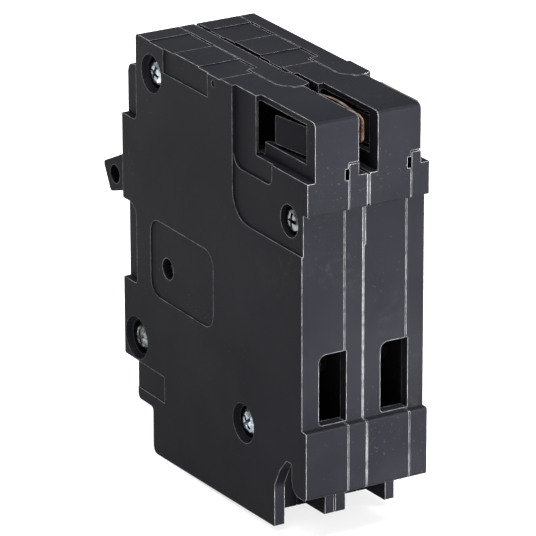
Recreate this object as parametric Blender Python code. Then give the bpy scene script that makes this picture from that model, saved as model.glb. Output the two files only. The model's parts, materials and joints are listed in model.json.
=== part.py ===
"""Plug-on circuit breaker with two half-inch poles, as an assembly of separate solids.

Each pole is drawn in its own frame, in millimetres: x runs across the pole from its left face, y from
the recessed back face towards the handle, and z up from the lower back block towards the line end.
The whole breaker stands on its load end, with its origin at the bottom centre of its box.
"""

import math

import bmesh
import bpy
from mathutils import Matrix, Vector

MM = 0.001

# Poles and the parting plane between case and cover.
POLE_WIDTH = 12.55
POLE_GAP = 0.3
POLE_PITCH = POLE_WIDTH + POLE_GAP
SEAM = 8.8
SEAM_GAP = 0.2
WALL = 2.1
COVER_FLOOR = 10.65

# Outline, as depths (y) and heights (z).
TOP = 70.4
BOTTOM_FRONT = -10.9
BOTTOM_BACK = -9.6
CHAMBER_FLOOR = -8.2
BACK = -1.5
FRONT_TOP = 59.45
FRONT = 65.0
FRONT_LOW = 60.0
FRONT_FOOT = 54.3
SHOULDER = 63.3
LOW_STEP = 5.6
FOOT_STEP = -1.8
UPPER_BLOCK = 53.1
LOWER_BLOCK = 12.3
TOE = 9.6
HOOK_WALL = 3.5
HOOK_TOP = 4.8
FLOOR_START = 16.4
SKIN = 2.0

# Stab pocket on the left of each pole, and the jaw block on its upper back corner.
POCKET_DEPTH = 1.86
POCKET_FLOOR = 3.0
POCKET_FRONT = 16.95
POCKET_LEDGE = 59.3
BLOCK_RIGHT = 10.75
BLOCK_FRONT = 17.4
TAB_TOP = 61.6
JAW_STRIP = 0.6

# Handle: a toggle on a drum, shown switched off.
HANDLE_PIVOT = (56.6, 45.1)
HANDLE_LEFT = 3.3
HANDLE_RIGHT = 9.2
HANDLE_REACH = 22.5
HANDLE_TILT = -22.0
DRUM_RADIUS = 8.2
TRUNNION_RADIUS = 1.5
TIE_REACH = 18.8
TIE_RADIUS = 1.5
TIE_CLEARANCE = 0.35

# Mechanism axes (y, z), all parallel to x.
ARM_PIVOT = (46.4, 43.6)
CRADLE_PIVOT = (11.5, 20.5)
ARMATURE_PIVOT = (48.5, 27.65)
TRIP_PIVOT = (43.2, 16.4)
PIN_RADIUS = 1.2
PIN_PLAY = 0.12
CLEAR = 0.3
PIN_CENTRES = (ARM_PIVOT, CRADLE_PIVOT, ARMATURE_PIVOT)
ARM_OPEN = 12.0
LATCH = (45.25, 22.0)
BAR_RADIUS = 1.4
CONTACT = (26.4, 55.65)

# Case screws: centre (y, z), counterbore radius.
SCREWS = ((53.7, 64.2, 3.7), (60.4, 10.15, 4.2), (4.8, 50.7, 3.1), (20.7, 6.75, 3.8))
SCREW_HOLE = 1.7
SCREW_SHANK = 1.4
SCREW_HEAD = 2.6
SINK_DEPTH = 2.3
SINK_CONE = 0.45
SCREW_TURNS = (25, 70, 5, 50)

# Wire terminal.
TERMINAL = (6.35, -4.9)
WIRE_MOUTH = (38.5, 47.0)
DRIVER_RADIUS = 3.1


def clear_scene():
    for obj in list(bpy.data.objects):
        bpy.data.objects.remove(obj)


# --- outlines -------------------------------------------------------------------------------------


def arc(centre, radius, start, end, steps):
    """Points on a circle in the y-z plane, from one angle to another in degrees."""
    points = []
    for i in range(steps + 1):
        angle = math.radians(start + (end - start) * i / steps)
        points.append((centre[0] + radius * math.cos(angle), centre[1] + radius * math.sin(angle)))
    return points


def rounded(corners, steps=3):
    """An outline from corners (a, b, radius), each one replaced by an arc of its radius."""
    outline = []
    count = len(corners)
    for i, (a, b, radius) in enumerate(corners):
        here = Vector((a, b))
        if radius <= 0:
            outline.append((a, b))
            continue
        to_last = (Vector(corners[i - 1][:2]) - here).normalized()
        to_next = (Vector(corners[(i + 1) % count][:2]) - here).normalized()
        half = to_last.angle(to_next) / 2
        reach = radius / math.tan(half)
        centre = here + (to_last + to_next).normalized() * radius / math.sin(half)
        first = here + to_last * reach - centre
        sweep = (here + to_next * reach - centre).angle_signed(first)
        for k in range(steps + 1):
            turn = Matrix.Rotation(sweep * k / steps, 2)
            outline.append(tuple(centre + turn @ first))
    return outline


def box_outline(y0, y1, z0, z1, radius=0.0):
    return rounded([(y0, z0, radius), (y1, z0, radius), (y1, z1, radius), (y0, z1, radius)])


# --- solids ---------------------------------------------------------------------------------------


def finish_mesh(bm, name):
    """Turns a bmesh in millimetres into a mesh in metres with its faces pointing out."""
    bmesh.ops.recalc_face_normals(bm, faces=bm.faces)
    bmesh.ops.scale(bm, vec=(MM, MM, MM), verts=bm.verts)
    mesh = bpy.data.meshes.new(name)
    bm.to_mesh(mesh)
    bm.free()
    return mesh


def solid(bm, name="tool"):
    obj = bpy.data.objects.new(name, finish_mesh(bm, name))
    bpy.context.scene.collection.objects.link(obj)
    return obj


def prism(outline, x0, x1):
    """A y-z outline drawn out along x."""
    bm = bmesh.new()
    near = [bm.verts.new((x0, y, z)) for y, z in outline]
    face = bm.faces.new(near)
    drawn = bmesh.ops.extrude_face_region(bm, geom=[face])
    moved = [v for v in drawn["geom"] if isinstance(v, bmesh.types.BMVert)]
    bmesh.ops.translate(bm, vec=(x1 - x0, 0, 0), verts=moved)
    return solid(bm)


def slab(outline, z0, z1):
    """An x-y outline drawn up along z."""
    bm = bmesh.new()
    low = [bm.verts.new((x, y, z0)) for x, y in outline]
    face = bm.faces.new(low)
    drawn = bmesh.ops.extrude_face_region(bm, geom=[face])
    moved = [v for v in drawn["geom"] if isinstance(v, bmesh.types.BMVert)]
    bmesh.ops.translate(bm, vec=(0, 0, z1 - z0), verts=moved)
    return solid(bm)


def box(x0, x1, y0, y1, z0, z1):
    return prism(box_outline(y0, y1, z0, z1), x0, x1)


def panel_cutter(outline, y0, y1):
    """An x-z outline drawn out along y."""
    bm = bmesh.new()
    near = [bm.verts.new((x, y0, z)) for x, z in outline]
    face = bm.faces.new(near)
    drawn = bmesh.ops.extrude_face_region(bm, geom=[face])
    moved = [v for v in drawn["geom"] if isinstance(v, bmesh.types.BMVert)]
    bmesh.ops.translate(bm, vec=(0, y1 - y0, 0), verts=moved)
    return solid(bm)


def turned(profile, axis, at, segments=24):
    """A turned solid about an axis through at, from a profile of (along, radius)."""
    bm = bmesh.new()
    rings = []
    for along, radius in profile:
        ring = []
        for i in range(segments):
            angle = 2 * math.pi * i / segments
            a = radius * math.cos(angle)
            b = radius * math.sin(angle)
            place = {"x": (along, a, b), "y": (a, along, b), "z": (a, b, along)}[axis]
            ring.append(bm.verts.new(Vector(place) + Vector(at)))
        rings.append(ring)
    for low, high in zip(rings, rings[1:]):
        for i in range(segments):
            j = (i + 1) % segments
            bm.faces.new((low[i], low[j], high[j], high[i]))
    bm.faces.new(rings[0])
    bm.faces.new(rings[-1])
    return solid(bm)


def rod(x0, x1, centre, radius, segments=24):
    """A round bar along x, centred on (y, z)."""
    return turned([(x0, radius), (x1, radius)], "x", (0, centre[0], centre[1]), segments)


def tube(path, radius, sides=8):
    """A round bar along a smooth path of x, y, z points."""
    bm = bmesh.new()
    rings = []
    for i, here in enumerate(path):
        before = Vector(path[max(i - 1, 0)])
        after = Vector(path[min(i + 1, len(path) - 1)])
        along = (after - before).normalized()
        side = along.cross(Vector((1, 0, 0))).normalized()
        up = side.cross(along)
        ring = []
        for k in range(sides):
            angle = 2 * math.pi * k / sides
            offset = side * math.cos(angle) + up * math.sin(angle)
            ring.append(bm.verts.new(Vector(here) + offset * radius))
        rings.append(ring)
    for low, high in zip(rings, rings[1:]):
        for k in range(sides):
            j = (k + 1) % sides
            bm.faces.new((low[k], low[j], high[j], high[k]))
    bm.faces.new(rings[0])
    bm.faces.new(rings[-1])
    return solid(bm)


def combine(body, tools, operation):
    """Applies a boolean with each tool in turn, then drops the tools."""
    for tool in tools:
        step = body.modifiers.new("boolean", "BOOLEAN")
        step.operation = operation
        step.object = tool
    bpy.context.view_layer.update()
    graph = bpy.context.evaluated_depsgraph_get()
    mesh = bpy.data.meshes.new_from_object(body.evaluated_get(graph))
    body.modifiers.clear()
    body.data = mesh
    for tool in tools:
        bpy.data.objects.remove(tool)
    bm = bmesh.new()
    bm.from_mesh(mesh)
    bmesh.ops.remove_doubles(bm, verts=bm.verts, dist=0.000002)
    bmesh.ops.dissolve_limit(bm, angle_limit=math.radians(0.3), verts=bm.verts, edges=bm.edges)
    bm.to_mesh(mesh)
    bm.free()
    return body


def cut(body, *tools):
    return combine(body, tools, "DIFFERENCE")


def fuse(body, *tools):
    return combine(body, tools, "UNION")


# --- materials and placing ------------------------------------------------------------------------


def material(name, colour, roughness, metallic):
    made = bpy.data.materials.new(name)
    made.use_nodes = True
    shader = made.node_tree.nodes["Principled BSDF"]
    shader.inputs["Base Color"].default_value = (*colour, 1)
    shader.inputs["Roughness"].default_value = roughness
    shader.inputs["Metallic"].default_value = metallic
    return made


def make_materials():
    return {
        "case": material("case_plastic", (0.018, 0.018, 0.022), 0.42, 0),
        "cover": material("cover_plastic", (0.021, 0.021, 0.025), 0.42, 0),
        "handle": material("handle_plastic", (0.012, 0.012, 0.014), 0.35, 0),
        "guard": material("guard_plastic", (0.016, 0.016, 0.019), 0.4, 0),
        "copper": material("copper", (0.72, 0.42, 0.26), 0.3, 1),
        "silver": material("contact_silver", (0.85, 0.85, 0.83), 0.28, 1),
        "zinc": material("zinc_plate", (0.7, 0.74, 0.78), 0.25, 1),
        "steel": material("steel", (0.5, 0.5, 0.5), 0.38, 1),
        "spring": material("spring_steel", (0.4, 0.4, 0.42), 0.3, 1),
        "bimetal": material("bimetal", (0.6, 0.57, 0.5), 0.35, 1),
        "fibre": material("trip_bar_plastic", (0.42, 0.4, 0.34), 0.6, 0),
    }


def place(obj, name, parent, finish, pivot=None):
    """Names a solid, hangs it on its parent and puts its origin on its joint's axis, if it has one."""
    obj.name = name
    obj.data.name = name
    obj.parent = parent
    if pivot:
        shift = Vector(pivot) * MM
        obj.data.transform(Matrix.Translation(-shift))
        obj.location = shift
    obj.data.materials.clear()
    obj.data.materials.append(finish)
    obj.data.shade_smooth()
    obj.data.set_sharp_from_angle(angle=math.radians(30))
    return obj


def twin(obj, name, parent):
    """The same piece in the other pole, sharing its mesh."""
    copy = bpy.data.objects.new(name, obj.data)
    bpy.context.scene.collection.objects.link(copy)
    copy.parent = parent
    copy.location = obj.location
    return copy


def frame_empty(name, pole):
    """The frame of a pole: its left face, recessed back face and lower block's foot."""
    empty = bpy.data.objects.new(name, None)
    bpy.context.scene.collection.objects.link(empty)
    empty.location.x = pole * POLE_PITCH * MM
    return empty


def stand_on_origin(frames):
    """Moves the poles so that the bottom centre of the whole box is the origin."""
    bpy.context.view_layer.update()
    points = []
    for obj in bpy.data.objects:
        if obj.type == "MESH":
            points += [obj.matrix_world @ vertex.co for vertex in obj.data.vertices]
    low = [min(point[i] for point in points) for i in range(3)]
    high = [max(point[i] for point in points) for i in range(3)]
    for frame in frames:
        frame.location.x -= (low[0] + high[0]) / 2
        frame.location.y -= (low[1] + high[1]) / 2
        frame.location.z -= low[2]


# --- case and cover -------------------------------------------------------------------------------


def side_outline():
    """The outline of a pole seen from its side."""
    return rounded(
        [
            (BACK, TOP, 1.0),
            (FRONT_TOP, TOP, 0.7),
            (FRONT_TOP, SHOULDER, 0.3),
            (FRONT, SHOULDER, 1.9),
            (FRONT, LOW_STEP, 0.5),
            (FRONT_LOW, LOW_STEP, 0),
            (FRONT_LOW, FOOT_STEP, 1.0),
            (FRONT_FOOT, FOOT_STEP, 0.8),
            (FRONT_FOOT, BOTTOM_FRONT, 1.3),
            (TOE, BOTTOM_BACK, 0.4),
            (TOE, -1.5, 0.8),
            (7.7, 2.2, 0),
            (5.3, HOOK_TOP, 0.4),
            (HOOK_WALL, HOOK_TOP, 0.4),
            (HOOK_WALL, -0.8, 2.2),
            (BACK, -0.8, 0.8),
            (BACK, LOWER_BLOCK, 0.3),
            (0, LOWER_BLOCK, 0),
            (0, UPPER_BLOCK, 0),
            (BACK, UPPER_BLOCK, 0.3),
        ]
    )


def chamber_outline():
    """The hollow inside a pole, a wall's thickness in from the outline."""
    return rounded(
        [
            (0.4, TOP - SKIN + 0.6, 0),
            (FRONT_TOP - SKIN, TOP - SKIN + 0.6, 0.5),
            (FRONT_TOP - SKIN, SHOULDER - SKIN, 0),
            (FRONT - SKIN, SHOULDER - SKIN, 1.0),
            (FRONT - SKIN, LOW_STEP + SKIN, 0.5),
            (FRONT_LOW - SKIN, LOW_STEP + SKIN - 0.8, 0),
            (FRONT_LOW - SKIN, FOOT_STEP + SKIN, 0.5),
            (FRONT_FOOT - SKIN, FOOT_STEP + SKIN, 0),
            (FRONT_FOOT - SKIN, CHAMBER_FLOOR, 0.5),
            (FLOOR_START + SKIN, CHAMBER_FLOOR, 0.5),
            (FLOOR_START + SKIN, HOOK_TOP + 3.6, 0.5),
            (2.0, HOOK_TOP + 3.6, 0.5),
            (2.0, POCKET_LEDGE, 0),
            (0.4, POCKET_LEDGE + SKIN, 0.5),
        ],
        2,
    )


def bosses(x0, x1):
    """Posts that the case screws run through."""
    return [rod(x0, x1, (y, z), radius + 0.9, 16) for y, z, radius in SCREWS]


def posts(x0, x1):
    """Small sockets that hold the ends of the mechanism's pins."""
    return [rod(x0, x1, centre, 2.6, 12) for centre in PIN_CENTRES]


def jaw_block_walls():
    """What stays standing round the jaw: the pocket's floor, the block's right wall and its floor."""
    return [
        box(WALL - 1, POCKET_FLOOR, -5, 17.9, POCKET_LEDGE - 1.0, TOP + 2),
        box(BLOCK_RIGHT - 0.85, BLOCK_RIGHT + 1, -5, BLOCK_FRONT, TAB_TOP, TOP + 2),
        box(SEAM - 0.3, BLOCK_RIGHT + 1, -5, BLOCK_FRONT, TAB_TOP, TAB_TOP + 1.2),
    ]


def chamber(x0, x1, socket_end):
    """The hollow of one shell, as a cutter that leaves the screw bosses and pin sockets standing."""
    hollow = prism(chamber_outline(), x0, x1)
    return cut(hollow, *bosses(x0 - 1, x1 + 1), *posts(*socket_end))


def pin_holes(x0, x1):
    """Blind holes for the pins, and sockets for the handle's trunnions."""
    holes = [rod(x0, x1, centre, PIN_RADIUS + 0.25, 12) for centre in PIN_CENTRES]
    return holes + [rod(x0, x1, HANDLE_PIVOT, TRUNNION_RADIUS + CLEAR, 14)]


def hook_cavity():
    """The space between the legs, where the mounting rail's clip goes."""
    return rounded(
        [
            (HOOK_WALL + 0.01, BOTTOM_FRONT - 2, 0),
            (FLOOR_START, BOTTOM_FRONT - 2, 0),
            (FLOOR_START, HOOK_TOP + 1.6, 0.8),
            (HOOK_WALL + 0.01, HOOK_TOP + 1.6, 0.8),
        ]
    )


def handle_window(x0, x1):
    """The opening in the front face that the toggle swings in."""
    return box(x0, x1, FRONT - SKIN - 3, FRONT + 1, HANDLE_PIVOT[1] - 7.9, HANDLE_PIVOT[1] + 7.9)


def terminal_openings():
    """The wire's way in from below and the screwdriver's way in from the front."""
    x, z = TERMINAL
    wire = box(x - 3.6, x + 3.6, WIRE_MOUTH[0], WIRE_MOUTH[1], BOTTOM_FRONT - 1, CHAMBER_FLOOR + 1)
    sides = [(FRONT_FOOT - SKIN - 1, DRIVER_RADIUS), (FRONT_FOOT + 1, DRIVER_RADIUS + 0.2)]
    driver = turned(sides, "y", (x, 0, z), 16)
    return [wire, driver]


def cover_tab_outline(grow):
    """The cover's tab on the top face, seen from above, grown on the case's side by a gap."""
    tab = [(7.1 - grow, 30.6 + grow), (7.1 - grow, 20.7), (7.6 - grow, 19.5 - grow)]
    tab += [(8.5 - grow, 18.7 - grow), (9.5, 18.0 - grow), (10.75, 17.6 - grow)]
    return tab + [(11.7, 17.9 - grow), (12.6, 18.6 - grow), (13.5, 18.6), (13.5, 30.6 + grow)]


def shallow_fields():
    """Shallow steps moulded in the left face, as cutters."""
    label = rounded([(31.4, 21.1, 3), (54.6, 21.1, 3), (54.6, 36.2, 3), (31.4, 36.2, 3)], 5)
    panel = rounded([(-5, 45.4, 0), (24.2, 45.4, 5.2), (24.2, 80, 0), (-5, 80, 0)], 5)
    pad = rounded([(10.8, 55.3, 1.6), (24.2, 55.3, 2.4), (24.2, 80, 0), (10.8, 80, 0)], 4)
    strip = box_outline(33.0, 49.2, 65.65, 80)
    foot = box_outline(49.9, 66, 0.5, 5.7)
    return [
        prism(label, -1, 0.22),
        prism(panel, -1, 0.3),
        prism(pad, -1, 0.7),
        prism(strip, -1, 0.25),
        prism(foot, -1, 0.12),
        rod(-1, 0.15, (30.9, 68.8), 0.65, 12),
    ]


def top_steps():
    """Shallow steps across the case's top face, as cutters."""
    return [box(-1, SEAM, 45.6, 54.3, TOP - 0.22, TOP + 2), box(-1, SEAM, 28.4, 36.6, TOP - 0.22, TOP + 2)]


def counterbore(y, z, radius):
    """The recess round a case screw's head, as a cutter: a cone down to a short step, then a bore."""
    cone = min(SINK_CONE, (radius - SCREW_HEAD) / 3)
    bore = radius - 2 * cone
    profile = [(-0.5, radius), (0, radius), (1.0, radius - cone), (1.15, bore + 0.1), (SINK_DEPTH, bore)]
    return turned(profile, "x", (0, y, z), 24)


def make_case(bar_passes):
    """The left shell of a pole. The trip bar's hole goes through only where the bar passes."""
    right = SEAM - SEAM_GAP / 2
    body = prism(side_outline(), 0, right)
    # The jaw block carries on over the cover's cut corner.
    block = prism(
        rounded(
            [
                (BACK, TAB_TOP + 0.3, 0),
                (BLOCK_FRONT, TAB_TOP + 0.3, 0),
                (BLOCK_FRONT, TOP, 0),
                (BACK, TOP, 1.0),
            ]
        ),
        right - 1,
        BLOCK_RIGHT,
    )
    body = fuse(body, block)
    socket = (WALL - 1, 3.1)
    body = cut(body, cut(chamber(WALL, right + 2.0, socket), *jaw_block_walls()))
    # Stab pocket, and the window in its floor down to the guard.
    body = cut(
        body,
        box(-1, POCKET_DEPTH, BACK - 2, POCKET_FRONT, POCKET_LEDGE, TOP + 2),
        box(POCKET_DEPTH - 0.5, POCKET_FLOOR + 1, 1.4, POCKET_FRONT, 61.95, 69.3),
        box(1.15, POCKET_FLOOR + 1, 15.6, 19.4, POCKET_LEDGE + 0.4, 69.3),
    )
    # Side rabbets on the front edge.
    body = cut(
        body,
        prism(rounded([(FRONT_TOP, 53.5, 1.2), (70, 53.5, 0), (70, 75, 0), (FRONT_TOP, 75, 0)]), -1, 1.4),
        prism(
            rounded([(59.9, 21.1, 0.8), (66, 21.1, 0), (66, 36.8, 0), (59.9, 36.8, 2.4)]),
            -1,
            1.4,
        ),
        handle_window(HANDLE_LEFT - 0.35, right + 1),
        panel_cutter(rounded([(3.5, 12.6, 0.7), (20, 12.6, 0), (20, 26.1, 0), (3.5, 26.1, 1.4)]), -3, 6),
    )
    body = cut(body, prism(hook_cavity(), WALL, right + 1), *terminal_openings())
    body = cut(body, *shallow_fields())
    body = cut(body, *top_steps(), slab(cover_tab_outline(SEAM_GAP), TOP - SKIN - 0.2, TOP + 1))
    # Notch beside the cover's back tab, and the jaw's way out of the block's right wall.
    body = cut(
        body,
        box(8.0, right + 0.5, BACK - 1, 1.5, 58.7, 60.8),
        box(BLOCK_RIGHT - 1.5, BLOCK_RIGHT + 1, 12.6, 15.6, 63.6, 69.5),
    )
    body = cut(body, *[counterbore(y, z, radius) for y, z, radius in SCREWS])
    shanks = [rod(0, right + 3, (y, z), SCREW_HOLE, 10) for y, z, radius in SCREWS]
    sight = rod(-1, 4, ARMATURE_PIVOT, 2.1, 16)
    bar = rod(-1 if bar_passes else 1.0, WALL + 1, TRIP_PIVOT, BAR_RADIUS + CLEAR, 12)
    return cut(body, *shanks, sight, bar, *pin_holes(1.2, 4))


def make_cover(bar_passes):
    """The right shell of a pole."""
    left = SEAM + SEAM_GAP / 2
    body = prism(side_outline(), left, POLE_WIDTH)
    socket = (COVER_FLOOR - 1.4, COVER_FLOOR + 1)
    body = cut(body, chamber(left - 2, COVER_FLOOR, socket))
    # The upper back corner makes room for the jaw block and for the stab slot.
    body = cut(
        body,
        box(left - 1, BLOCK_RIGHT + 0.2, BACK - 1, BLOCK_FRONT + 0.3, TAB_TOP, TOP + 2),
        box(BLOCK_RIGHT + 0.05, POLE_WIDTH + 1, BACK - 1, 18.4, POCKET_LEDGE, TOP + 2),
    )
    tab = slab(cover_tab_outline(0), TOP - SKIN, TOP)
    trim = box(POLE_WIDTH, POLE_WIDTH + 5, 0, 40, 50, 80)
    body = fuse(body, cut(tab, trim))
    shelf = box(12.0, 14, 25.5, FRONT_TOP + 1, TOP - 0.5, TOP + 1)
    body = cut(body, shelf, handle_window(left - 1, HANDLE_RIGHT + 0.35))
    body = cut(body, prism(box_outline(-3, 6, 12.6, 26.1), left - 1, 9.25))
    body = cut(body, prism(hook_cavity(), left - 1, COVER_FLOOR), *terminal_openings())
    shanks = [rod(left - 1, POLE_WIDTH + 2, (y, z), SCREW_HOLE, 10) for y, z, radius in SCREWS]
    bar_end = POLE_WIDTH + 1 if bar_passes else COVER_FLOOR + 0.9
    bar = rod(COVER_FLOOR - 1, bar_end, TRIP_PIVOT, BAR_RADIUS + CLEAR, 12)
    return cut(body, *shanks, bar, *pin_holes(COVER_FLOOR - 2, COVER_FLOOR + 0.9))


# --- handle ---------------------------------------------------------------------------------------


def make_handle():
    """A tapered toggle on a drum, with two trunnions and a cross hole for the tie pin."""
    y, z = HANDLE_PIVOT
    front = arc((0, 0), DRUM_RADIUS, -62, 62, 10)
    drum = prism(front + arc((0, 0), 3.4, 100, 260, 6), HANDLE_LEFT, HANDLE_RIGHT)
    sides = [(5.5, -4.3, 0), (HANDLE_REACH - 0.6, -3.0, 0.7), (HANDLE_REACH, 2.9, 0.7), (5.5, 3.9, 0)]
    paddle = prism(rounded(sides, 2), HANDLE_LEFT, HANDLE_RIGHT)
    trunnions = rod(HANDLE_LEFT - 1.9, HANDLE_RIGHT + 1.9, (0, 0), TRUNNION_RADIUS, 14)
    cross_hole = rod(HANDLE_LEFT - 1, HANDLE_RIGHT + 1, (TIE_REACH, 0), TIE_RADIUS + TIE_CLEARANCE, 16)
    handle = cut(fuse(drum, paddle, trunnions), cross_hole)
    handle.data.transform(Matrix.Rotation(math.radians(HANDLE_TILT), 4, "X"))
    handle.data.transform(Matrix.Translation(Vector((0, y, z)) * MM))
    return handle


def tie_point():
    angle = math.radians(HANDLE_TILT)
    return (
        HANDLE_PIVOT[0] + TIE_REACH * math.cos(angle),
        HANDLE_PIVOT[1] + TIE_REACH * math.sin(angle),
    )


# --- line side ------------------------------------------------------------------------------------


def sheet_strip(stations, thickness):
    """A bent strip. Each station is (x, y, low z, high z) on its outer side; it thickens to its left."""
    bm = bmesh.new()
    rings = []
    for i, (x, y, low, high) in enumerate(stations):
        before = stations[max(i - 1, 0)]
        after = stations[min(i + 1, len(stations) - 1)]
        along = Vector((after[0] - before[0], after[1] - before[1])).normalized()
        inward = Vector((-along.y, along.x)) * thickness
        far_x = x + inward.x
        far_y = y + inward.y
        ring = [(x, y, low), (x, y, high), (far_x, far_y, high), (far_x, far_y, low)]
        rings.append([bm.verts.new(p) for p in ring])
    for near, far in zip(rings, rings[1:]):
        for k in range(4):
            j = (k + 1) % 4
            bm.faces.new((near[k], near[j], far[j], far[k]))
    bm.faces.new(rings[0])
    bm.faces.new(rings[-1])
    return solid(bm)


def make_line_jaw(bow, start, lip):
    """A U of copper strip: one arm in the block, and a sprung leaf that bows out into the stab slot."""
    low = 64.6
    high = TOP - 0.35
    near = BLOCK_RIGHT + 0.25 + JAW_STRIP
    steps = 9
    leaf = []
    if lip:
        leaf.append((near + 0.65, start - 1.2, low + 0.9, high - 1.3))
        leaf.append((near + 0.45, start - 0.95, low + 0.35, high - 0.6))
        leaf.append((near + 0.1, start - 0.3, low, high))
    for i in range(steps + 1):
        t = i / steps
        swell = math.sin(math.pi * t ** 1.35)
        leaf.append((near + bow * swell, start + t * (13.4 - start), low, high))
    bend = [(near - 0.2, 14.1, low, high - 0.7), (near - 0.75, 14.75, low, high - 1.5)]
    foot = low - 1.4
    inner = [(9.0, 14.9, low - 0.4, 66.4), (6.4, 14.9, foot, 65.5), (5.4, 14.4, foot, 65.5)]
    arm = [(4.9, 13.2, foot, 65.7), (4.9, 3.0, foot, 66.0)]
    return sheet_strip(leaf + bend + inner + arm, JAW_STRIP)


def make_jaw_spring():
    """A hairpin of spring steel that backs up the jaw's arms."""
    stations = [(8.9, 2.4, 65.2, 67.8), (8.9, 11.3, 65.2, 67.8), (8.0, 12.4, 65.2, 67.8)]
    stations += [(7.0, 12.6, 65.2, 67.8), (6.6, 11.3, 65.2, 67.8), (6.6, 2.4, 65.2, 67.8)]
    return sheet_strip(stations, 0.45)


def make_stab_guard():
    """A plastic leaf that closes most of the window in the stab pocket, set at a slight angle."""
    guard = prism(rounded([(0, 62.6, 0.4), (9.0, 62.6, 0.4), (9.0, 68.0, 0.4), (0, 68.0, 0.4)]), 0, 0.8)
    rib = box(0.6, 1.2, 1.0, 8.0, 64.6, 65.6)
    guard = fuse(guard, rib)
    guard.data.transform(Matrix.Rotation(math.radians(8.0), 4, "Z"))
    guard.data.transform(Matrix.Translation(Vector((3.2, 3.4, 0)) * MM))
    return guard


def make_line_strap():
    """A copper angle that carries current from the jaw to the fixed contact."""
    foot = box(4.4, 8.0, 15.3, 30.0, 57.2, 58.2)
    return fuse(foot, box(6.6, 8.0, 15.3, 16.2, 57.4, 65.0))


def make_fixed_contact():
    """A silver rivet head under the strap, its face down."""
    return turned([(0, 1.7), (0.3, 2.1), (1.25, 2.1)], "z", (6.4, *CONTACT), 16)


# --- mechanism ------------------------------------------------------------------------------------


def bar_along(start, end, width_start, width_end):
    """A tapered bar in the y-z plane from one point to another."""
    a = Vector(start)
    b = Vector(end)
    along = (b - a).normalized()
    side = Vector((-along.y, along.x))
    corners = [a + side * width_start, a - side * width_start, b - side * width_end, b + side * width_end]
    return [tuple(p) for p in corners]


def open_arm(obj):
    """Turns a piece drawn with the contacts closed to where it rests with them open."""
    pivot = Vector((0, *ARM_PIVOT)) * MM
    turn = Matrix.Rotation(math.radians(ARM_OPEN), 4, "X")
    obj.data.transform(Matrix.Translation(pivot) @ turn @ Matrix.Translation(-pivot))
    return obj


def make_contact_arm():
    """The copper arm that carries the moving contact."""
    arm = prism(bar_along((ARM_PIVOT[0] + 1.0, ARM_PIVOT[1] - 0.4), (24.0, 52.9), 1.9, 1.2), 5.2, 7.6)
    hub = rod(5.2, 7.6, ARM_PIVOT, 3.0, 16)
    arm = fuse(arm, hub)
    return open_arm(cut(arm, rod(4, 9, ARM_PIVOT, PIN_RADIUS + PIN_PLAY, 16)))


def make_moving_contact():
    """The silver button on the arm, its face up to the fixed one."""
    y, z = CONTACT
    return open_arm(turned([(-1.4, 1.9), (-0.6, 1.9), (-0.35, 1.6)], "z", (6.4, y, z), 16))


def make_pin(centre):
    return rod(1.5, COVER_FLOOR + 0.6, centre, PIN_RADIUS, 16)


def make_toggle_spring():
    """A coil between the arm and the cradle, as a closed tube on a helix along z."""
    low = 28.8
    high = 44.2
    turns = 6
    per_turn = 7
    points = []
    for i in range(turns * per_turn + 1):
        angle = 2 * math.pi * i / per_turn
        z = low + (high - low) * i / (turns * per_turn)
        points.append((4.9 + 1.5 * math.cos(angle), 31.0 + 1.5 * math.sin(angle), z))
    return tube(points, 0.3, 4)


def make_cradle():
    """The trip lever: a bent steel plate on its own pin, its tip latched by the armature."""
    y, z = CRADLE_PIVOT
    plate = rounded(
        [
            (y - 2.2, z - 2.0, 1.2),
            (27.0, 22.6, 4.0),
            (36.0, 21.6, 4.0),
            (LATCH[0] - 0.35, LATCH[1] - 1.9, 0.3),
            (LATCH[0] - 0.35, LATCH[1] - 0.3, 0.3),
            (36.0, 25.2, 2.0),
            (33.0, 27.9, 1.5),
            (28.5, 27.9, 1.5),
            (y - 1.6, z + 2.6, 1.6),
        ]
    )
    lever = prism(plate, 7.5, 8.8)
    return cut(lever, rod(7, 11, CRADLE_PIVOT, PIN_RADIUS + PIN_PLAY, 16))


def make_bimetal():
    """The strip that bends when it is hot."""
    return box(4.2, 8.6, 51.6, 52.5, 5.2, 24.6)


def make_magnet_yoke():
    """A U of steel round the bimetal."""
    web = box(3.4, 9.4, 53.4, 54.4, 13.0, 21.4)
    left = box(3.4, 3.8, 50.4, 54.0, 13.0, 21.4)
    right = box(9.0, 9.4, 50.4, 54.0, 13.0, 21.4)
    return fuse(web, left, right)


def make_armature():
    """The plate that the magnet pulls; its ledge sits over the cradle's tip."""
    plate = box(3.6, 8.9, 46.0, 47.0, 10.5, 31.2)
    hub = rod(3.6, 8.9, ARMATURE_PIVOT, 2.0, 16)
    ledge = box(6.6, 8.9, LATCH[0], 46.5, LATCH[1], LATCH[1] + 0.9)
    plate = fuse(plate, hub, ledge)
    return cut(plate, rod(3, 11, ARMATURE_PIVOT, PIN_RADIUS + PIN_PLAY, 16))


def make_braid():
    """The flexible copper braid from the bimetal's head to the contact arm."""
    points = []
    a = Vector((6.2, 53.5, 23.6))
    b = Vector((6.2, 54.0, 33.0))
    c = Vector((6.2, 50.5, 36.0))
    d = Vector((6.2, 41.6, 40.3))
    steps = 10
    for i in range(steps + 1):
        t = i / steps
        points.append(a * (1 - t) ** 3 + b * 3 * t * (1 - t) ** 2 + c * 3 * t * t * (1 - t) + d * t ** 3)
    return tube(points, 0.75, 7)


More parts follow.
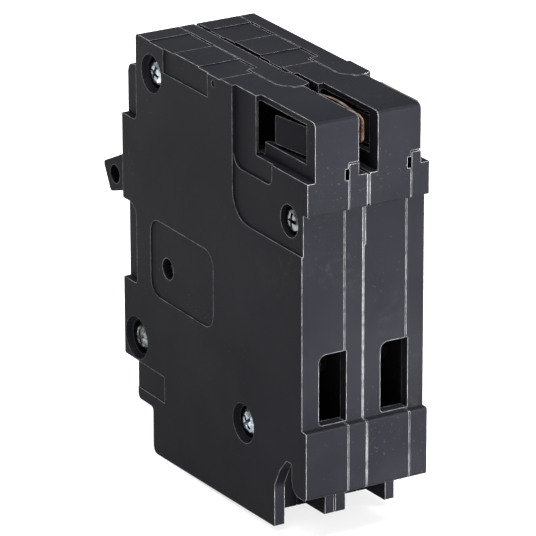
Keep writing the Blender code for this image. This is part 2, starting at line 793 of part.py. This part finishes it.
def make_load_strap():
    """The copper strap from the bimetal's foot to the wire clamp."""
    outline = [
        (49.0, -8.0),
        (50.2, -8.0),
        (50.2, 3.4),
        (53.6, 3.4),
        (53.6, 9.0),
        (52.8, 9.0),
        (52.8, 4.9),
        (49.0, 4.9),
    ]
    strap = prism(outline, TERMINAL[0] - 3.4, TERMINAL[0] + 3.4)
    hole = turned([(45, 1.9), (55, 1.9)], "y", (TERMINAL[0], 0, TERMINAL[1]), 14)
    return cut(strap, hole)


def make_terminal_screw():
    """A cheese-head screw with a cross slot, its thread plain."""
    x, z = TERMINAL
    screw = turned([(34.5, 1.2), (35.2, 1.5), (50.5, 1.5), (50.5, 2.3), (51.9, 2.3)], "y", (x, 0, z), 16)
    return cut(screw, box(x - 0.35, x + 0.35, 51.2, 53, z - 3, z + 3))


def make_wire_clamp():
    """The nut plate that the screw draws towards the strap."""
    x, z = TERMINAL
    plate = box(x - 3.3, x + 3.3, 36.2, 38.0, z - 3.0, z + 3.4)
    return cut(plate, turned([(30, 1.7), (45, 1.7)], "y", (x, 0, z), 14))


def make_arc_plate(z):
    """A steel plate of the arc stack, notched where the contact passes."""
    outline = [(2.7, 9.4), (10.2, 9.4), (10.2, 20.5), (8.0, 20.5), (6.45, 14.5), (4.9, 20.5), (2.7, 20.5)]
    return slab(outline, z, z + 0.9)


# --- pieces shared by both poles ------------------------------------------------------------------


def make_case_screw(y, z, turn):
    """A long pan-head screw through both poles, with a cross recess turned by an angle in degrees."""
    length = POLE_PITCH + POLE_WIDTH - 0.4
    crown = [(0.68, 0.7), (0.78, 1.35), (1.0, 1.95), (1.3, 2.35), (1.6, SCREW_HEAD), (2.0, SCREW_HEAD)]
    shank = [(2.0, SCREW_SHANK), (length, SCREW_SHANK)]
    screw = turned(crown + shank, "x", (0, 0, 0), 16)
    wing = [(0.3, -1.5), (0.9, -1.4), (1.9, -0.5), (1.9, 0.5), (0.9, 1.4), (0.3, 1.5)]
    flat = slab(wing, -0.33, 0.33)
    upright = panel_cutter(wing, -0.33, 0.33)
    screw = cut(screw, flat, upright)
    screw.data.transform(Matrix.Rotation(math.radians(turn), 4, "X"))
    screw.data.transform(Matrix.Translation(Vector((0, y, z)) * MM))
    return screw


def make_trip_bar():
    """The bar that carries a trip in one pole to the armature of the other."""
    y, z = TRIP_PIVOT
    bar = rod(1.3, POLE_PITCH + 11.2, TRIP_PIVOT, BAR_RADIUS, 14)
    paddles = [box(3.8 + p, 6.9 + p, y + 0.5, y + 2.1, z - 5.8, z + 0.6) for p in (0, POLE_PITCH)]
    return fuse(bar, *paddles)


def build():
    clear_scene()
    finish = make_materials()
    first = frame_empty("pole_1_frame", 0)
    second = frame_empty("pole_2_frame", 1)

    def both(obj, piece, look, pivot=None):
        one = place(obj, "pole_1_" + piece, first, finish[look], pivot)
        twin(one, "pole_2_" + piece, second)

    place(make_case(False), "pole_1_case", first, finish["case"])
    place(make_case(True), "pole_2_case", second, finish["case"])
    place(make_cover(True), "pole_1_cover", first, finish["cover"])
    place(make_cover(False), "pole_2_cover", second, finish["cover"])
    both(make_handle(), "handle", "handle", (0, *HANDLE_PIVOT))
    both(make_stab_guard(), "stab_guard", "guard")
    place(make_line_jaw(0.95, 0.4, True), "pole_1_line_jaw", first, finish["copper"])
    place(make_line_jaw(0.0, 0.6, False), "pole_2_line_jaw", second, finish["copper"])
    both(make_jaw_spring(), "jaw_spring", "spring")
    both(make_line_strap(), "line_strap", "copper")
    both(make_fixed_contact(), "fixed_contact", "silver")
    both(make_contact_arm(), "contact_arm", "copper", (0, *ARM_PIVOT))
    both(make_moving_contact(), "moving_contact", "silver", (0, *ARM_PIVOT))
    both(make_pin(ARM_PIVOT), "arm_pin", "steel")
    both(make_toggle_spring(), "toggle_spring", "spring")
    both(make_cradle(), "cradle", "steel", (0, *CRADLE_PIVOT))
    both(make_pin(CRADLE_PIVOT), "cradle_pin", "steel")
    both(make_bimetal(), "bimetal", "bimetal")
    both(make_magnet_yoke(), "magnet_yoke", "steel")
    both(make_armature(), "armature", "steel", (0, *ARMATURE_PIVOT))
    both(make_pin(ARMATURE_PIVOT), "armature_pin", "zinc")
    both(make_braid(), "braid", "copper")
    both(make_load_strap(), "load_strap", "copper")
    both(make_terminal_screw(), "terminal_screw", "zinc", (TERMINAL[0], 0, TERMINAL[1]))
    both(make_wire_clamp(), "wire_clamp", "steel")
    for i, z in enumerate((43.0, 46.4, 49.8)):
        both(make_arc_plate(z), f"arc_plate_{i + 1}", "steel")
    for i, (y, z, radius) in enumerate(SCREWS):
        screw = make_case_screw(y, z, SCREW_TURNS[i])
        place(screw, f"case_screw_{i + 1}", first, finish["zinc"])
    tie = rod(HANDLE_LEFT + 2.2, POLE_PITCH + HANDLE_RIGHT - 2.2, tie_point(), TIE_RADIUS, 16)
    place(tie, "handle_tie_pin", first, finish["steel"])
    place(make_trip_bar(), "common_trip_bar", first, finish["fibre"], (0, *TRIP_PIVOT))
    stand_on_origin((first, second))


build()
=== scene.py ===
"""The looks of the two-pole breaker: moulded plastic, bright zinc, copper and steel in a pale studio.

Every node keeps the shape that the frame gives it. Positions of added pieces, lights and the camera
are worked out from the frame's own boxes.
"""

import json
import math

import bmesh
import bpy
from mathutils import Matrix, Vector, noise


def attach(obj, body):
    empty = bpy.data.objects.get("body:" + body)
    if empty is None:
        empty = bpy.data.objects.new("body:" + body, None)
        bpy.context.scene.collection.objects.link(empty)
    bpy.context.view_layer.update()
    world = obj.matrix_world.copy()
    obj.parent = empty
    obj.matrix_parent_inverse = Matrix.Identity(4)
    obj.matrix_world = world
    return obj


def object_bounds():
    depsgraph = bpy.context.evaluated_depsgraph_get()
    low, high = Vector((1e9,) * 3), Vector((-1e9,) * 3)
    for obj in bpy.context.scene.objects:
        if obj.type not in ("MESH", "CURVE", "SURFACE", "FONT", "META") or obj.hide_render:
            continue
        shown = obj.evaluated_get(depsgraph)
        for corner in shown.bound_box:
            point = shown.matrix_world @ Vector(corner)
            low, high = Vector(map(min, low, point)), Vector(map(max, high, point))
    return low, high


MM = 0.001

# The camera: azimuth 0 looks along +Y, and a negative one stands to the left of that. Angles are in degrees,
# the lens in millimetres on a 36 mm sensor, and the aim is offset from the middle of the breaker's box.
VIEW_AZIMUTH = -30.476
VIEW_ELEVATION = 20.503
VIEW_ROLL = -0.17
VIEW_DISTANCE = 0.9205
VIEW_LENS = 335.8
VIEW_SENSOR = 36.0
AIM_OFFSET = (2.05 * MM, -1.61 * MM, -0.92 * MM)

# The plastic: how much it shines, how far its pale edges reach, which are partly wear and partly painted
# highlight, and how far its painted shade reaches.
PLASTIC_SPECULAR = 0.016
PLASTIC_TINT = (0.88, 0.92, 1.0)
WORN_AND_HIGHLIT_EDGE = 0.15 * MM
REACH_OF_WEAR_AND_HIGHLIGHT = 4.0 * MM
REACH_OF_SHADE = 5.0 * MM

# The flash between the poles: how far below the surface it starts and how ragged its edge is, how far it
# reaches to the left and right of the gap's middle, how far into the gap, and its clearance from the walls.
FLASH_DEPTH = 0.03 * MM
FLASH_RAGGEDNESS = 0.75
FLASH_GRAIN = 900.0
FLASH_REACH = (0.16 * MM, 0.46 * MM)
FLASH_THICKNESS = 0.6 * MM
FLASH_CLEARANCE = 0.02 * MM

# How a seam is found: by rays from behind at even heights, the probe's distance to each side of it, and then by
# rays from inside it towards its walls. A wall that isn't met is taken to be at half the seam's usual width.
# Only stretches within the band from the rearmost face, and longer than the shortest run of steps, get a fin.
SEAM_STEPS = 150
SEAM_PROBE = 0.8 * MM
SEAM_PROBE_DEPTH = 0.35 * MM
SEAM_HALF_WIDTH = 0.1 * MM
BACK_BAND = 3.0 * MM
SHORTEST_RUN = 3

# The studio, in metres: the floor, the low strip lights, which end below the breaker's top, and the top light.
FLOOR_REACH = 3.0
FLOOR_DROP = 0.05 * MM
STRIP_HEIGHT = 0.07
STRIP_DISTANCE = 0.6
LAMP_DISTANCE = 1.2

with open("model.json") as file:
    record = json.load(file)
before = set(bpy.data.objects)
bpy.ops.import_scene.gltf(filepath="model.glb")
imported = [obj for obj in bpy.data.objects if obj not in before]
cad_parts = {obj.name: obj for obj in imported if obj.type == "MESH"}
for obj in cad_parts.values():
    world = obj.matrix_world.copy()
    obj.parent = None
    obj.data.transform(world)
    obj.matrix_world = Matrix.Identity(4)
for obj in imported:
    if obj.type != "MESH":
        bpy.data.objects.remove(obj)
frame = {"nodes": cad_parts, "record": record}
cad_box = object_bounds()


# --- node helpers ---------------------------------------------------------------------------------


class Look:
    """One Principled material with short ways to add texture nodes to it."""

    def __init__(self, name, roughness, metallic=0.0, specular=0.5, tint=(1.0, 1.0, 1.0)):
        self.material = bpy.data.materials.new(name)
        self.material.use_nodes = True
        self.tree = self.material.node_tree
        self.shader = self.tree.nodes["Principled BSDF"]
        self.shader.inputs["Roughness"].default_value = roughness
        self.shader.inputs["Metallic"].default_value = metallic
        self.shader.inputs["Specular IOR Level"].default_value = specular
        self.shader.inputs["Specular Tint"].default_value = (*tint, 1.0)
        self.place = self.tree.nodes.new("ShaderNodeTexCoord").outputs["Object"]

    def link(self, output, target):
        self.tree.links.new(output, target)

    def stretched(self, scale, turn=(0.0, 0.0, 0.0)):
        """Object coordinates scaled by a different amount along each axis."""
        node = self.tree.nodes.new("ShaderNodeMapping")
        node.inputs["Scale"].default_value = scale
        node.inputs["Rotation"].default_value = turn
        self.link(self.place, node.inputs["Vector"])
        return node.outputs["Vector"]

    def noise(self, scale, detail=3.0, roughness=0.55, vector=None):
        node = self.tree.nodes.new("ShaderNodeTexNoise")
        node.inputs["Scale"].default_value = scale
        node.inputs["Detail"].default_value = detail
        node.inputs["Roughness"].default_value = roughness
        self.link(vector or self.place, node.inputs["Vector"])
        return node.outputs["Fac"]

    def between(self, value, low, high, to_low=0.0, to_high=1.0):
        """Maps low..high of a value to to_low..to_high, held at both ends."""
        node = self.tree.nodes.new("ShaderNodeMapRange")
        node.interpolation_type = "SMOOTHSTEP"
        node.inputs["From Min"].default_value = low
        node.inputs["From Max"].default_value = high
        node.inputs["To Min"].default_value = to_low
        node.inputs["To Max"].default_value = to_high
        self.link(value, node.inputs["Value"])
        return node.outputs["Result"]

    def times(self, first, second):
        node = self.tree.nodes.new("ShaderNodeMath")
        node.operation = "MULTIPLY"
        self.link(first, node.inputs[0])
        if isinstance(second, float):
            node.inputs[1].default_value = second
        else:
            self.link(second, node.inputs[1])
        return node.outputs["Value"]

    def blend(self, amount, first, second):
        """A colour between two others. Each one is a colour or an output."""
        node = self.tree.nodes.new("ShaderNodeMix")
        node.data_type = "RGBA"
        self.link(amount, node.inputs[0])
        for value, target in ((first, node.inputs[6]), (second, node.inputs[7])):
            if isinstance(value, tuple):
                target.default_value = (*value, 1.0)
            else:
                self.link(value, target)
        return node.outputs[2]

    def edges(self, reach):
        """Near 1 on outer edges and 0 elsewhere: how much of the solid is missing close to the point."""
        node = self.tree.nodes.new("ShaderNodeAmbientOcclusion")
        node.inside = True
        node.only_local = True
        node.samples = 8
        node.inputs["Distance"].default_value = reach
        return self.between(node.outputs["AO"], 0.88, 0.5)

    def open_air(self, reach, own=False):
        """How much of the space in front of the point is free, out to a reach, of all pieces or its own."""
        node = self.tree.nodes.new("ShaderNodeAmbientOcclusion")
        node.only_local = own
        node.samples = 8
        node.inputs["Distance"].default_value = reach
        return node.outputs["AO"]

    def hollows(self, reach):
        """Near 1 in corners and slots, the mask for painted shade."""
        return self.between(self.open_air(reach, own=True), 0.9, 0.3)

    def bump(self, height, strength, distance):
        node = self.tree.nodes.new("ShaderNodeBump")
        node.inputs["Strength"].default_value = strength
        node.inputs["Distance"].default_value = distance
        self.link(height, node.inputs["Height"])
        self.link(node.outputs["Normal"], self.shader.inputs["Normal"])

    def colour(self, output):
        self.link(output, self.shader.inputs["Base Color"])

    def roughness(self, output):
        self.link(output, self.shader.inputs["Roughness"])


# --- materials ------------------------------------------------------------------------------------


def moulded_plastic(name, dark, pale, wear_and_highlight_strength):
    """Near-black moulding with cloudy tone, fine pale dust, rubbed patches, outer edges paled by wear and
    painted highlight, and painted shade in hollows.
    """
    look = Look(name, 0.5, specular=PLASTIC_SPECULAR, tint=PLASTIC_TINT)
    cloud = look.between(look.noise(45.0, 4.0), 0.35, 0.7)
    base = look.blend(cloud, dark, tuple(c * 1.25 + 0.0016 for c in dark))

    specks = look.between(look.noise(2600.0, 2.0), 0.66, 0.8)
    drift = look.between(look.noise(60.0), 0.4, 0.65)
    base = look.blend(look.times(look.times(specks, drift), 0.12), base, pale)

    rubbed = look.between(look.noise(900.0, 8.0, 0.75), 0.48, 0.66)
    patch = look.between(look.noise(38.0, 5.0, 0.65), 0.55, 0.75)
    base = look.blend(look.times(look.times(rubbed, patch), 0.03), base, pale)

    # Pale outer edges: partly real wear, partly painted highlight on the rounded edges. They are kept off edges
    # deep in slots.
    broken = look.between(look.noise(520.0, 6.0, 0.7), 0.36, 0.58, 0.3, 1.0)
    exposed = look.between(look.open_air(REACH_OF_WEAR_AND_HIGHLIGHT), 0.42, 0.75)
    worn_and_highlit_rim = look.times(look.times(look.edges(WORN_AND_HIGHLIT_EDGE), broken), exposed)
    base = look.blend(look.times(worn_and_highlit_rim, wear_and_highlight_strength), base, pale)

    # Painted shade: the colour darkens towards black where other pieces close in within 5 mm, in hollows and
    # slots.
    painted_shade_in_hollows = look.between(look.open_air(REACH_OF_SHADE), 0.5, 0.12, 0.0, 0.9)
    look.colour(look.blend(painted_shade_in_hollows, base, (0.0, 0.0, 0.0)))
    look.roughness(look.between(look.noise(90.0, 5.0), 0.3, 0.7, 0.42, 0.58))
    look.bump(look.noise(3200.0, 3.0), 0.12, 0.02 * MM)
    return look.material


def bright_zinc(name, dark, light):
    """Zinc plate in patches of two tones, with painted shade that darkens the recess nearly to black."""
    look = Look(name, 0.28, metallic=1.0)
    cloud = look.between(look.noise(620.0, 3.0), 0.42, 0.6)
    tint = look.blend(cloud, dark, light)
    # Painted shade: the recess darkened nearly to black.
    look.colour(look.blend(look.times(look.hollows(0.8 * MM), 0.85), tint, (0.04, 0.045, 0.05)))
    look.roughness(look.between(look.noise(900.0, 4.0), 0.3, 0.7, 0.16, 0.34))
    look.bump(look.noise(1500.0, 3.0), 0.5, 0.06 * MM)
    return look.material


def rolled_copper(name):
    look = Look(name, 0.32, metallic=1.0)
    cloud = look.between(look.noise(240.0, 4.0), 0.35, 0.68)
    base = look.blend(cloud, (0.24, 0.135, 0.09), (0.42, 0.27, 0.19))
    stain = look.between(look.noise(330.0, 3.0), 0.42, 0.62, 0.0, 0.85)
    base = look.blend(stain, base, (0.12, 0.065, 0.04))
    # Painted shade: darker, nearly black, where other pieces close in within 3 mm.
    look.colour(look.blend(look.between(look.open_air(3.0 * MM), 0.55, 0.2), base, (0.03, 0.016, 0.01)))
    grain = look.noise(1.0, 3.0, 0.6, look.stretched((500.0, 500.0, 9000.0)))
    look.roughness(look.between(grain, 0.3, 0.7, 0.24, 0.42))
    look.bump(grain, 0.1, 0.02 * MM)
    return look.material


def plain_metal(name, dark, light, rough, brush):
    """A metal with streaks along the axis whose brush value is smallest."""
    look = Look(name, rough, metallic=1.0)
    grain = look.noise(1.0, 3.0, 0.6, look.stretched(brush))
    look.colour(look.blend(look.between(grain, 0.3, 0.7), dark, light))
    look.roughness(look.between(look.noise(300.0, 4.0), 0.3, 0.7, rough - 0.08, rough + 0.1))
    look.bump(grain, 0.12, 0.02 * MM)
    return look.material


def braided_copper(name):
    """Fine crossing strands, as two diagonal waves."""
    look = Look(name, 0.4, metallic=1.0)
    waves = []
    for turn in (0.7, -0.7):
        node = look.tree.nodes.new("ShaderNodeTexWave")
        node.inputs["Scale"].default_value = 900.0
        node.inputs["Distortion"].default_value = 1.5
        look.link(look.stretched((1.0, 1.0, 1.0), (turn, 0.0, 0.0)), node.inputs["Vector"])
        waves.append(node.outputs["Fac"])
    weave = look.times(waves[0], waves[1])
    look.colour(look.blend(weave, (0.3, 0.15, 0.08), (0.85, 0.56, 0.38)))
    look.bump(weave, 0.5, 0.1 * MM)
    return look.material


def pressed_fibre(name):
    look = Look(name, 0.65, specular=0.3)
    fleck = look.between(look.noise(1400.0, 4.0), 0.4, 0.7)
    look.colour(look.blend(fleck, (0.4, 0.37, 0.3), (0.55, 0.52, 0.44)))
    look.bump(look.noise(1800.0, 4.0), 0.2, 0.03 * MM)
    return look.material


PALE = (0.46, 0.46, 0.48)
BRUSH_ALONG_Z = (5000.0, 5000.0, 260.0)
EVEN_GRAIN = (900.0, 900.0, 900.0)
LOOKS = {
    "case_plastic": moulded_plastic("case_plastic", (0.0064, 0.0066, 0.0084), PALE, 0.6),
    "cover_plastic": moulded_plastic("cover_plastic", (0.0068, 0.007, 0.0088), PALE, 0.6),
    "handle_plastic": moulded_plastic("handle_plastic", (0.0045, 0.0045, 0.006), PALE, 0.4),
    "guard_plastic": moulded_plastic("guard_plastic", (0.007, 0.007, 0.009), PALE, 0.45),
    "trip_bar_plastic": pressed_fibre("trip_bar_plastic"),
    "copper": rolled_copper("copper"),
    "copper_braid": braided_copper("copper_braid"),
    "contact_silver": plain_metal("contact_silver", (0.7, 0.69, 0.66), (0.9, 0.9, 0.87), 0.3, EVEN_GRAIN),
    "zinc_plate": bright_zinc("zinc_plate", (0.2, 0.24, 0.27), (0.55, 0.62, 0.64)),
    "steel": plain_metal("steel", (0.34, 0.34, 0.35), (0.55, 0.55, 0.55), 0.38, BRUSH_ALONG_Z),
    "spring_steel": plain_metal("spring_steel", (0.25, 0.25, 0.27), (0.5, 0.5, 0.53), 0.3, EVEN_GRAIN),
    "bimetal": plain_metal("bimetal", (0.5, 0.47, 0.4), (0.68, 0.65, 0.58), 0.34, BRUSH_ALONG_Z),
}
# A darker copy of the zinc for two of the case screws.
DARKER_ZINC = bright_zinc("darker_zinc", (0.035, 0.037, 0.037), (0.2, 0.22, 0.22))
DARKER_SCREWS = ("case_screw_2", "case_screw_3")
FLASH = moulded_plastic("seam_flash", (0.03, 0.03, 0.034), (0.26, 0.26, 0.27), 0.8)


def dress_nodes():
    """Gives each node the look of its material slot, and two of the case screws a darker zinc."""
    for part in frame["record"]["subparts"]:
        node = frame["nodes"][part["node"]]
        look = DARKER_ZINC if part["node"] in DARKER_SCREWS else LOOKS[part["material_slot"]]
        if not node.data.materials:
            node.data.materials.append(look)
        for slot in node.material_slots:
            slot.link = "OBJECT"
            slot.material = look


# --- flash between the poles ----------------------------------------------------------------------


def back_of(node, x, z):
    """The depth at which a ray from behind meets a node, or None."""
    start = Vector((x, cad_box[0][1] - 10.0 * MM, z))
    hit, place, normal, index = frame["nodes"][node].ray_cast(start, Vector((0, 1, 0)))
    return place.y if hit else None


def seam_runs(x, left_node, right_node):
    """Stretches of the back, as lists of (y, z), where both sides of a seam are near the back plane."""
    runs = [[]]
    low = cad_box[0][2]
    high = cad_box[1][2]
    for i in range(SEAM_STEPS + 1):
        z = low + (high - low) * i / SEAM_STEPS
        depths = [back_of(left_node, x - SEAM_PROBE, z), back_of(right_node, x + SEAM_PROBE, z)]
        if None not in depths and max(depths) < cad_box[0][1] + BACK_BAND:
            runs[-1].append((max(depths), z))
        elif runs[-1]:
            runs.append([])
    return [run for run in runs if len(run) > SHORTEST_RUN]


def seam_sides(x, y, z, left_node, right_node):
    """Where the walls of a seam are, just under the surface."""
    start = Vector((x, y + SEAM_PROBE_DEPTH, z))
    sides = []
    for node, way in ((left_node, -1), (right_node, 1)):
        hit, place, normal, index = frame["nodes"][node].ray_cast(start, Vector((way, 0, 0)), distance=MM)
        sides.append(place.x if hit else x + way * SEAM_HALF_WIDTH)
    return sides


def seam_flash(name, x, run, left_node, right_node):
    """A thin fin that fills a seam from just below the surface inwards, with a ragged outer edge."""
    bm = bmesh.new()
    rings = []
    for y, z in run:
        front = y + FLASH_DEPTH * (1.0 + FLASH_RAGGEDNESS * noise.noise(Vector((x, y, z)) * FLASH_GRAIN))
        back = front + FLASH_THICKNESS
        left, right = seam_sides(x, y, z, left_node, right_node)
        left = max(left + FLASH_CLEARANCE, x - FLASH_REACH[0])
        right = min(right - FLASH_CLEARANCE, x + FLASH_REACH[1])
        ring = [(left, front), (right, front), (right, back), (left, back)]
        rings.append([bm.verts.new((a, b, z)) for a, b in ring])
    for low, high in zip(rings, rings[1:]):
        for k in range(4):
            bm.faces.new((low[k], low[(k + 1) % 4], high[(k + 1) % 4], high[k]))
    bm.faces.new(rings[0])
    bm.faces.new(rings[-1])
    bmesh.ops.recalc_face_normals(bm, faces=bm.faces)
    mesh = bpy.data.meshes.new(name)
    bm.to_mesh(mesh)
    bm.free()
    fin = bpy.data.objects.new(name, mesh)
    bpy.context.scene.collection.objects.link(fin)
    mesh.materials.append(FLASH)
    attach(fin, "housing")


def flash_the_gap():
    """Fins along the gap between the poles, which is wider on its right where the panel is recessed."""
    bpy.context.view_layer.update()
    for i, run in enumerate(seam_runs(0.0, "pole_1_cover", "pole_2_case")):
        seam_flash(f"pole_gap_flash_{i + 1}", 0.0, run, "pole_1_cover", "pole_2_case")


# --- studio ---------------------------------------------------------------------------------------


def aim(obj, place, target):
    obj.location = place
    obj.rotation_euler = (Vector(target) - Vector(place)).to_track_quat("-Z", "Y").to_euler()


def towards(azimuth, elevation):
    """The direction from the breaker to a point at this azimuth and elevation, as the camera's are."""
    a = math.radians(azimuth)
    e = math.radians(elevation)
    return Vector((math.sin(a) * math.cos(e), -math.cos(a) * math.cos(e), math.sin(e)))


def soft_light(name, centre, azimuth, elevation, distance, size, power):
    """An area light of this width and height that faces the breaker's middle."""
    data = bpy.data.lights.new(name, "AREA")
    data.shape = "RECTANGLE"
    data.size = size[0]
    data.size_y = size[1]
    data.energy = power
    lamp = bpy.data.objects.new(name, data)
    bpy.context.scene.collection.objects.link(lamp)
    aim(lamp, centre + towards(azimuth, elevation) * distance, centre)


def light_the_room():
    """An even white sky."""
    world = bpy.data.worlds.new("studio")
    bpy.context.scene.world = world
    world.use_nodes = True
    background = world.node_tree.nodes["Background"]
    background.inputs["Color"].default_value = (1.0, 1.0, 1.0, 1.0)
    background.inputs["Strength"].default_value = 0.62


def lay_the_floor(height):
    """A sheet of white paper that glows a little, so that it stays white beside the dark breaker."""
    mesh = bpy.data.meshes.new("floor")
    corners = [(-1, -1), (1, -1), (1, 1), (-1, 1)]
    mesh.from_pydata([(x * FLOOR_REACH, y * FLOOR_REACH, height) for x, y in corners], [], [(0, 1, 2, 3)])
    floor = bpy.data.objects.new("floor", mesh)
    bpy.context.scene.collection.objects.link(floor)
    paper = Look("floor_paper", 0.9, specular=0.1)
    paper.colour(paper.blend(paper.noise(3.0), (0.42, 0.42, 0.42), (0.44, 0.44, 0.44)))
    paper.shader.inputs["Emission Color"].default_value = (1.0, 1.0, 1.0, 1.0)
    paper.shader.inputs["Emission Strength"].default_value = 0.66
    mesh.materials.append(paper.material)


def place_the_camera(centre):
    camera = bpy.data.cameras.new("camera")
    camera.lens = VIEW_LENS
    camera.sensor_width = VIEW_SENSOR
    camera.clip_start = 50.0 * MM
    eye = bpy.data.objects.new("camera", camera)
    bpy.context.scene.collection.objects.link(eye)
    target = centre + Vector(AIM_OFFSET)
    aim(eye, target + towards(VIEW_AZIMUTH, VIEW_ELEVATION) * VIEW_DISTANCE, target)
    eye.rotation_euler.rotate_axis("Z", math.radians(VIEW_ROLL))
    bpy.context.scene.camera = eye


def studio():
    """The sky, the floor, four lights and the camera. The strips don't shine on the breaker's top."""
    low, high = (Vector(corner) for corner in cad_box)
    centre = (low + high) / 2
    bpy.context.scene.view_settings.view_transform = "Standard"
    light_the_room()
    lay_the_floor(low.z - FLOOR_DROP)
    soft_light("key", centre, 38.0, 0.0, STRIP_DISTANCE, (0.5, STRIP_HEIGHT), 19.0)
    soft_light("front", centre, 178.0, 0.0, STRIP_DISTANCE, (0.3, STRIP_HEIGHT), 8.0)
    soft_light("top", centre, 20.0, 75.0, LAMP_DISTANCE, (0.7, 0.7), 36.0)
    soft_light("left", centre, -48.0, 56.0, 0.3, (0.14, 0.14), 0.45)
    place_the_camera(centre)


dress_nodes()
flash_the_gap()
studio()
